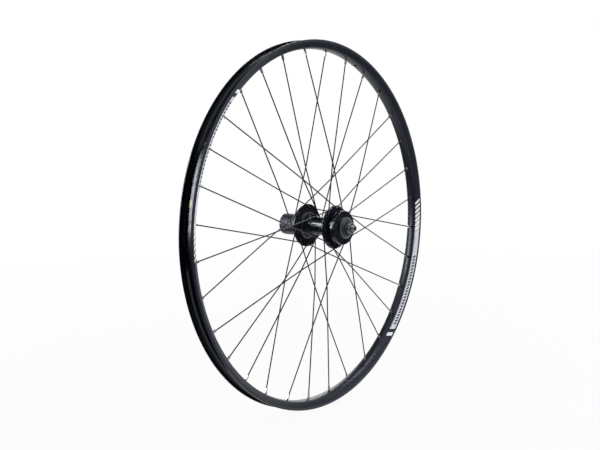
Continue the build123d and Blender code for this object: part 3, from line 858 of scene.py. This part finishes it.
# Hub shell: one section from the ratchet seat over both flanges and the rotor mount, and back
# through the bore
hubShape = {
    "turns": 192,
    "section": (
        (19.02, -28.0, 0.15),
        (21.0, -28.0, 0.5),
        (21.0, -22.6, 0.8),
        (32.6, -22.6, 0.6),
        (35.0, -21.4, 0.7),
        (35.0, -19.4, 0.7),
        (18.0, -19.4, 5.5),
        (18.0, -8.8, 0.5),
        (15.0, -8.8, 0.8),
        (15.0, 26.9, 3.5),
        (19.0, 35.9, 1.2),
        (35.0, 35.9, 0.7),
        (35.0, 37.9, 0.7),
        (32.6, 39.1, 0.6),
        (19.0, 39.1, 1.5),
        (19.0, 45.2, 1.5),
        (27.0, 45.2, 1.2),
        (27.0, 55.2, 0.9),
        (17.5, 55.2, 0.25),
        (17.5, 58.7, 0.4),
        (14.5, 58.7, 0.3),
        (14.5, 55.0, 0.05),
        (13.02, 55.0, 0.05),
        (13.02, 47.0, 0.1),
        (10.5, 47.0, 0.2),
        (10.5, -4.0, 0.2),
        (13.02, -4.0, 0.1),
        (13.02, -12.5, 0.1),
        (15.6, -12.5, 0.1),
        (15.6, -19.5, 0.1),
        (19.02, -19.5, 0.1),
    ),
    "boltCircle": 22.0,
    "boltCount": 6,
    "boltHole": 2.1,
    "boltDrill": (44.9, 55.6),
}
boltAngle = np.radians(90 + np.arange(hubShape["boltCount"]) * 360 / hubShape["boltCount"])
boltSpots = hubShape["boltCircle"] * np.stack([np.cos(boltAngle), 0 * boltAngle, np.sin(boltAngle)], -1)
axleWay = np.array([0.0, 1.0, 0.0])
spokeDrill = axleWay * (lacing["flangeThickness"] / 2 + lacing["drillPast"])
boltDrill = [boltSpots + axleWay * reach for reach in hubShape["boltDrill"]]
hubCutters = [
    roundBars(hubHoles - spokeDrill, hubHoles + spokeDrill, lacing["holeRadius"], 18),
    roundBars(*boltDrill, hubShape["boltHole"], 32),
]
makePiece(
    "hubShell",
    [turned(roundedSection(hubShape["section"], 6), hubShape["turns"])],
    "wheel",
    "hub",
    ["hub_shell"],
    hubCutters,
    crease=30,
)

# Threads in the rotor holes: sleeves whose inner wall rises in a ridge that climbs one pitch a turn
threadShape = {
    "turns": 28,
    "outer": 2.14,
    "inner": 2.06,
    "pitch": 0.8,
    "height": 0.22,
    "low": 45.9,
    "high": 54.6,
    "stride": 0.2,
}


def boltThread(r, along, angle):
    onWall = r < threadShape["outer"] - 0.02
    crest = threadShape["height"] * ridge(along / threadShape["pitch"] + angle / fullTurn)
    return np.where(onWall, r - crest, r), along


threadSection = finerSection(
    np.array(
        [
            (threadShape["inner"], threadShape["low"]),
            (threadShape["outer"], threadShape["low"]),
            (threadShape["outer"], threadShape["high"]),
            (threadShape["inner"], threadShape["high"]),
        ]
    ),
    threadShape["stride"],
    lambda r, along: r < threadShape["inner"] + 0.01,
)
sleevePoints, sleeveFaces = turned(threadSection, threadShape["turns"], boltThread)
makePiece(
    "rotorHoleThreads",
    [(sleevePoints + boltSpot, sleeveFaces) for boltSpot in boltSpots],
    "wheel",
    "hub",
    crease=50,
)
print("hub shell turned and drilled")

# Dust cap: a plug under a cover that bulges between its edge and its nose and carries fine ribs
capShape = {
    "turns": 160,
    "section": (
        (9.0, 55.0, 0.1),
        (14.46, 55.0, 0.1),
        (14.46, 58.7, 0.05),
        (17.0, 58.7, 0.1),
        (17.0, 59.7, 0.3),
        (11.0, 62.9, 0.4),
        (9.0, 62.9, 0.25),
    ),
    "nose": 11.0,
    "cover": 17.0,
    "coverFrom": 59.3,
    "bulge": 0.4,
    "ribs": 4,
    "ribHeight": 0.12,
    "stride": 0.14,
    "finerFrom": (10.9, 59.6),
}


# On the cover the face rises by a parabola over its width, plus a squared sine for each rib
def ribbedCover(r, along, angle):
    share = np.clip((r - capShape["nose"]) / (capShape["cover"] - capShape["nose"]), 0, 1)
    rise = 4 * capShape["bulge"] * share * (1 - share)
    rise += capShape["ribHeight"] * np.sin(np.pi * capShape["ribs"] * share) ** 2
    return r, np.where(along > capShape["coverFrom"], along + rise, along)


finerRadius, finerAlong = capShape["finerFrom"]
capSection = finerSection(
    roundedSection(capShape["section"]),
    capShape["stride"],
    lambda r, along: (r > finerRadius) & (along > finerAlong),
)
makePiece(
    "dustCap",
    [turned(capSection, capShape["turns"], ribbedCover)],
    "wheel",
    "dust_cap",
    ["dust_cap"],
    crease=40,
)

# Axle: a hollow rod with a shoulder; its bare ends carry a fine thread that climbs one pitch a turn
axleShape = {
    "turns": 64,
    "section": (
        (2.6, -76.0, 0.3),
        (4.8, -76.0, 0.7),
        (4.8, -70.5, 0.05),
        (5.0, -70.5, 0.05),
        (5.0, -4.0, 0.05),
        (6.5, -4.0, 0.3),
        (6.5, 47.0, 0.3),
        (5.0, 47.0, 0.05),
        (5.0, 70.5, 0.05),
        (4.8, 70.5, 0.05),
        (4.8, 76.0, 0.7),
        (2.6, 76.0, 0.3),
    ),
    "pitch": 1.0,
    "depth": 0.3,
    "skin": 4.0,
    "from": 70.7,
    "to": 75.2,
    "stride": 0.12,
    "finerFrom": (4.6, 70.6),
}
finerSkin, finerEnd = axleShape["finerFrom"]


def axleThread(r, along, angle):
    reach = np.abs(along)
    onEnd = (r > axleShape["skin"]) & (reach > axleShape["from"]) & (reach < axleShape["to"])
    groove = axleShape["depth"] * (1 - ridge(along / axleShape["pitch"] + angle / fullTurn))
    return np.where(onEnd, r - groove, r), along


axleSection = finerSection(
    roundedSection(axleShape["section"]),
    axleShape["stride"],
    lambda r, along: (r > finerSkin) & (np.abs(along) > finerEnd),
)
axleRod = turned(axleSection, axleShape["turns"], axleThread)
makePiece("axleRod", [axleRod], "axle", "axle", ["axle"], crease=40)

# Spacers: plain sleeves with broken edges
spacerShape = {
    "turns": 96,
    "left_spacer": (5.02, 8.4, 55.0, 63.5),
    "right_spacer": (5.02, 7.0, -63.5, -58.5),
    "edge": 0.35,
    "boreEdge": 0.1,
}
edge, boreEdge = spacerShape["edge"], spacerShape["boreEdge"]
for node, title in (("left_spacer", "leftSpacer"), ("right_spacer", "rightSpacer")):
    bore, outside, low, high = spacerShape[node]
    section = roundedSection(
        ((bore, low, boreEdge), (outside, low, edge), (outside, high, edge), (bore, high, boreEdge))
    )
    makePiece(title, [turned(section, spacerShape["turns"])], "axle", "spacer", [node])

# Locknuts: six flats cut into a turned ring with chamfered faces, and teeth on the outer face for
# the dropout
locknutShape = {
    "turns": 240,
    "bore": 5.02,
    "flats": 8.5,
    "round": 9.2,
    "faceRadius": 8.2,
    "chamfer": 0.75,
    "outerFace": 70.5,
    "width": 7.0,
    "teeth": 40,
    "toothDepth": 0.28,
    "teethFrom": 5.7,
    "teethTo": 7.7,
    "stride": 0.25,
    "finerFrom": 5.2,
}


# The radius is cut back to the flats: half the flats over the cosine of the angle from the nearest flat
def cutFlats(r, along, angle):
    fromFlat = np.mod(angle, fullTurn / 6) - fullTurn / 12
    r = np.minimum(r, locknutShape["flats"] / np.cos(fromFlat))
    onFace = np.abs(along) > locknutShape["outerFace"] - 0.01
    onFace &= (r > locknutShape["teethFrom"]) & (r < locknutShape["teethTo"])
    tooth = locknutShape["toothDepth"] * ridge(angle * locknutShape["teeth"] / fullTurn)
    return r, np.where(onFace, along - np.sign(along) * tooth, along)


for node, title, side in (("left_locknut", "leftLocknut", 1), ("right_locknut", "rightLocknut", -1)):
    outer = locknutShape["outerFace"] * side
    inner = (locknutShape["outerFace"] - locknutShape["width"]) * side
    chamfer = locknutShape["chamfer"] * side
    section = roundedSection(
        (
            (locknutShape["bore"], inner, 0.15),
            (locknutShape["faceRadius"], inner, 0.1),
            (locknutShape["round"], inner + chamfer, 0.15),
            (locknutShape["round"], outer - chamfer, 0.15),
            (locknutShape["faceRadius"], outer, 0.1),
            (locknutShape["bore"], outer, 0.25),
        )
    )
    section = finerSection(section, locknutShape["stride"], lambda r, along: r > locknutShape["finerFrom"])
    locknut = turned(section, locknutShape["turns"], cutFlats)
    makePiece(title, [locknut], "axle", "locknut", [node], crease=24)
print("axle, spacers and locknuts turned")

# Freehub body: a turned body with nine grooves cut along it, one of them wider, pawl pockets in its
# neck and a threaded mouth
freehubShape = {
    "section": (
        (11.02, -14.5, 0.2),
        (14.9, -14.5, 0.4),
        (14.9, -28.8, 0.1),
        (18.4, -28.8, 0.3),
        (18.4, -31.5, 0.3),
        (17.4, -31.5, 0.1),
        (17.4, -65.6, 0.2),
        (16.5, -66.5, 0.2),
        (14.8, -66.5, 0.2),
        (14.8, -59.0, 0.2),
        (11.02, -59.0, 0.2),
        (11.02, -52.5, 0.1),
        (8.0, -52.5, 0.2),
        (8.0, -20.5, 0.2),
        (11.02, -20.5, 0.1),
    ),
    "grooves": 9,
    "grooveHalf": 2.2,
    "keyHalf": 4.6,
    "spline": 17.4,
    "floor": 16.1,
    "neck": 15.0,
    "splineStart": -31.5,
    "wall": 0.25,
    "turnStep": 2.5,
    "mouth": 14.8,
    "mouthFrom": -59.3,
    "pitch": 1.0,
    "threadDepth": 0.4,
    "threadFrom": -59.8,
    "threadTo": -66.0,
    "stride": 0.16,
}
grooveMiddle = 90 + np.arange(freehubShape["grooves"]) * 360 / freehubShape["grooves"]
grooveTurn, keyTurn = np.degrees(
    np.arcsin(np.array([freehubShape["grooveHalf"], freehubShape["keyHalf"]]) / freehubShape["spline"])
)
grooveLow = grooveMiddle - grooveTurn
grooveHigh = grooveMiddle + grooveTurn
grooveHigh[0] = grooveMiddle[0] + keyTurn
wall = freehubShape["wall"]
splineAngles = np.concatenate(
    [
        np.arange(0, 360, freehubShape["turnStep"]),
        grooveLow - wall,
        grooveLow + wall,
        grooveHigh - wall,
        grooveHigh + wall,
    ]
)
splineAngles = np.radians(np.unique(np.round(np.mod(splineAngles, 360), 4)))


# Inside a groove the radius drops to the floor, and in the mouth it waves in a climbing thread
def splinedBody(r, along, angle):
    turn = np.degrees(angle)[..., None]
    inGroove = (np.mod(turn - grooveLow, 360) < np.mod(grooveHigh - grooveLow, 360)).any(-1)
    outside = (r > freehubShape["neck"]) & (along < freehubShape["splineStart"] + 0.3)
    r = np.where(inGroove & outside, np.minimum(r, freehubShape["floor"]), r)
    inMouth = (along < freehubShape["threadFrom"]) & (along > freehubShape["threadTo"])
    inMouth &= np.abs(r - freehubShape["mouth"]) < 0.05
    crest = freehubShape["threadDepth"] * ridge(along / freehubShape["pitch"] - angle / fullTurn)
    return np.where(inMouth, r + crest, r), along


freehubSection = finerSection(
    roundedSection(freehubShape["section"]),
    freehubShape["stride"],
    lambda r, along: (np.abs(r - freehubShape["mouth"]) < 0.02) & (along < freehubShape["mouthFrom"]),
)

# Pawl pockets as outlines in (outwards, sideways), turned to each pawl's place around the neck
pocketShape = {
    "count": 3,
    "outline": ((17.0, -1.6), (17.5, 9.83), (13.2, 8.63), (10.7, 6.9), (10.4, 0.8)),
    "pivot": 12.6,
    "pivotSeat": 2.0,
    "seatTurn": (170, 320),
    "seatSteps": 12,
    "low": -27.7,
    "high": -21.3,
}
pawlAngle = np.radians(90 + np.arange(pocketShape["count"]) * 360 / pocketShape["count"])
outwards = np.stack([np.cos(pawlAngle), np.sin(pawlAngle)], -1)
sideways = np.stack([np.sin(pawlAngle), -np.cos(pawlAngle)], -1)
seatTurn = np.radians(np.linspace(*pocketShape["seatTurn"], pocketShape["seatSteps"]))
seatArc = pocketShape["pivotSeat"] * np.stack([np.cos(seatTurn), np.sin(seatTurn)], -1)
seatArc += [pocketShape["pivot"], 0]
pocket = np.vstack([seatArc, pocketShape["outline"]])
pocketOutlines = pocket[None, :, :1] * outwards[:, None] + pocket[None, :, 1:] * sideways[:, None]
freehubCutters = [carriedOutlines(pocketOutlines, pocketShape["low"], pocketShape["high"])]
makePiece(
    "freehubBody",
    [turned(freehubSection, splineAngles, splinedBody)],
    "freehub",
    "freehub",
    ["freehub_body"],
    freehubCutters,
    crease=32,
)

# Shield between the races of the outer freehub bearing: a shallow dished ring
shieldShape = {
    "turns": 96,
    "section": (
        (6.98, -58.42, 0.05),
        (7.5, -58.3, 0.1),
        (8.5, -58.3, 0.1),
        (9.03, -58.42, 0.05),
        (9.03, -57.9, 0.05),
        (6.98, -57.9, 0.05),
    ),
}
shield = turned(roundedSection(shieldShape["section"]), shieldShape["turns"])
makePiece("bearingShield", [shield], "freehub", "seal")
print("freehub body turned and grooved")

# Floor under the wheel, pale and plain
floorLook = {"reach": 14.0, "colour": (0.86, 0.86, 0.86), "near": 0.6, "far": 2.2, "nearGlow": 0.93}
floorHeight = cadBox[0][2]
corners = np.array([(-1, -1), (1, -1), (1, 1), (-1, 1)]) * floorLook["reach"]
floorMesh = bpy.data.meshes.new("floor")
floorMesh.from_pydata(np.column_stack([corners, np.full(4, floorHeight)]), [], [(0, 1, 2, 3)])
floor = bpy.data.objects.new("floor", floorMesh)
bpy.context.scene.collection.objects.link(floor)


# 1 for what the camera sees or a shiny face mirrors, 0 for the light on matt faces
def seenOrMirrored(tree):
    path = put(tree, "LightPath").outputs
    looked = calc(tree, "MAXIMUM", path["Is Camera Ray"], path["Is Glossy Ray"])
    return calc(tree, "MAXIMUM", looked, path["Is Transmission Ray"])


floorFinish = bpy.data.materials.new("floorFinish")
tree = blankTree(floorFinish)
matte = put(tree, "BsdfDiffuse", {"Color": (*floorLook["colour"], 1)})
glow = put(tree, "Emission", {"Color": (1, 1, 1, 1), "Strength": 1.0})
floorSpot = put(tree, "TexCoord").outputs["Object"]
away = put(tree, "VectorMath", {0: floorSpot}, operation="LENGTH").outputs["Value"]
glowShare = spread(tree, away, floorLook["near"], floorLook["far"], floorLook["nearGlow"], 1.0)
glowShare = calc(tree, "MULTIPLY", seenOrMirrored(tree), glowShare)
blend = put(tree, "MixShader", {0: glowShare, 1: matte.outputs[0], 2: glow.outputs[0]})
put(tree, "OutputMaterial", {"Surface": blend.outputs[0]})
floorMesh.materials.append(floorFinish)

# White surroundings for what is seen or mirrored, a quieter light for matt surfaces
worldLook = {"ambient": 0.42}
world = bpy.data.worlds.new("studio")
bpy.context.scene.world = world
tree = blankTree(world)
strength = spread(tree, seenOrMirrored(tree), 0.0, 1.0, worldLook["ambient"], 1.0)
surround = put(tree, "Background", {"Color": (1, 1, 1, 1), "Strength": strength})
put(tree, "OutputWorld", {"Surface": surround.outputs[0]})


# Placement of a lamp or the camera, from the columns of its axes and its spot
def placement(axes, spot):
    return Matrix(np.vstack([np.column_stack([axes, spot]), [0, 0, 0, 1]]).tolist())


# Softboxes, each aimed at the hub: direction, distance, size across and up, power, and which of the
# mirrored and matt light it gives
softboxes = {
    "leftStrip": {
        "way": (0.69, -0.615, 0.25),
        "distance": 1.7,
        "size": (0.24, 1.0),
        "power": 20.0,
        "mirrored": True,
        "matt": False,
    },
    "overStrip": {
        "way": (-0.34, -0.05, 0.93),
        "distance": 2.0,
        "size": (0.5, 1.0),
        "power": 26.0,
        "mirrored": True,
        "matt": False,
    },
    "backPanel": {
        "way": (-0.745, -0.603, 0.29),
        "distance": 3.0,
        "size": (1.4, 0.8),
        "power": 9.0,
        "mirrored": True,
        "matt": False,
    },
    "frontBox": {
        "way": (-0.45, 0.85, 0.35),
        "distance": 2.2,
        "size": (0.9, 1.2),
        "power": 26.0,
        "mirrored": True,
        "matt": True,
    },
    "backBox": {
        "way": (0.3, -0.9, 0.35),
        "distance": 2.4,
        "size": (1.0, 1.2),
        "power": 20.0,
        "mirrored": False,
        "matt": True,
    },
}
for title, look in softboxes.items():
    lamp = bpy.data.lights.new(title, "AREA")
    lamp.shape = "RECTANGLE"
    lamp.size, lamp.size_y = look["size"]
    lamp.energy = look["power"]
    box = bpy.data.objects.new(title, lamp)
    bpy.context.scene.collection.objects.link(box)
    way = np.array(look["way"]) / np.linalg.norm(look["way"])
    side = np.cross((0, 0, 1), way)
    side /= np.linalg.norm(side)
    up = np.cross(way, side)
    box.matrix_world = placement(np.stack([side, up, way], 1), way * look["distance"])
    box.visible_camera = False
    box.visible_diffuse = look["matt"]
    box.visible_glossy = look["mirrored"]

# Black cards, seen only in mirrored light, so that black faces turned to them stay black. A card's
# profile (distance, height) is carried straight across, and three of them start as an apron on the floor.
cards = {
    "frontCard": {
        "way": (-0.35, 0.94),
        "profile": ((0.45, 0.004), (1.7, 0.004), (1.9, 1.6)),
        "width": 3.4,
    },
    "sideCard": {
        "way": (0.78, -0.63),
        "profile": ((0.22, 0.004), (2.1, 0.004), (2.3, 2.4)),
        "width": 2.3,
    },
    "eyeCard": {
        "way": (0.777, 0.629),
        "profile": ((1.2, 0.004), (2.2, 0.004), (2.4, 2.2)),
        "width": 2.4,
    },
    "topCard": {
        "way": (-0.55, -0.83),
        "profile": ((1.0, 2.9), (2.2, 2.9), (3.4, 2.1)),
        "width": 5.5,
    },
}
cardTone = (0.01, 0.01, 0.012)
cardFinish = bpy.data.materials.new("cardFinish")
tree = blankTree(cardFinish)
matte = put(tree, "BsdfDiffuse", {"Color": (*cardTone, 1)})
put(tree, "OutputMaterial", {"Surface": matte.outputs[0]})
for title, look in cards.items():
    way = np.array([*look["way"], 0]) / np.linalg.norm(look["way"])
    across = np.cross((0, 0, 1), way) * look["width"] / 2
    profile = np.array(look["profile"])
    edge = profile[:, :1] * way + (profile[:, 1:] + floorHeight) * np.array([0, 0, 1])
    cardMesh = bpy.data.meshes.new(title)
    cardMesh.from_pydata(np.concatenate([edge - across, edge + across]), [], [(0, 1, 4, 3), (1, 2, 5, 4)])
    cardMesh.materials.append(cardFinish)
    card = bpy.data.objects.new(title, cardMesh)
    bpy.context.scene.collection.objects.link(card)
    card.visible_camera = False
    card.visible_diffuse = False
    card.visible_shadow = False

# Camera: direction to the photo's eye in degrees, distance and offsets in millimetres, focal length in
# pixels, and a small turn of the eye about the axle
cameraLook = {
    "around": 129.0175,
    "above": 5.168,
    "distance": 1562.73,
    "aside": 27.766,
    "lift": -1.315,
    "focal": 960.94,
    "turn": 1.095,
    "sensor": 36.0,
    "imageWidth": 600,
}
around, above = math.radians(cameraLook["around"]), math.radians(cameraLook["above"])
back = np.array([math.sin(around) * math.cos(above), -math.cos(around) * math.cos(above), math.sin(above)])
side = np.array([math.cos(around), math.sin(around), 0])
up = np.cross(back, side)
eye = (cameraLook["distance"] * back - cameraLook["aside"] * side - cameraLook["lift"] * up) * mm
turn = math.radians(cameraLook["turn"])
rolled = np.array([[math.cos(turn), 0, -math.sin(turn)], [0, 1, 0], [math.sin(turn), 0, math.cos(turn)]])
axes = rolled @ np.stack([side, up, back], 1)
camera = bpy.data.objects.new("camera", bpy.data.cameras.new("camera"))
bpy.context.scene.collection.objects.link(camera)
camera.data.sensor_width = cameraLook["sensor"]
camera.data.lens = cameraLook["focal"] * cameraLook["sensor"] / cameraLook["imageWidth"]
camera.matrix_world = placement(axes, rolled @ eye)
camera.data.clip_end = 60
bpy.context.scene.camera = camera
bpy.context.scene.view_settings.view_transform = "Standard"
print("studio set")
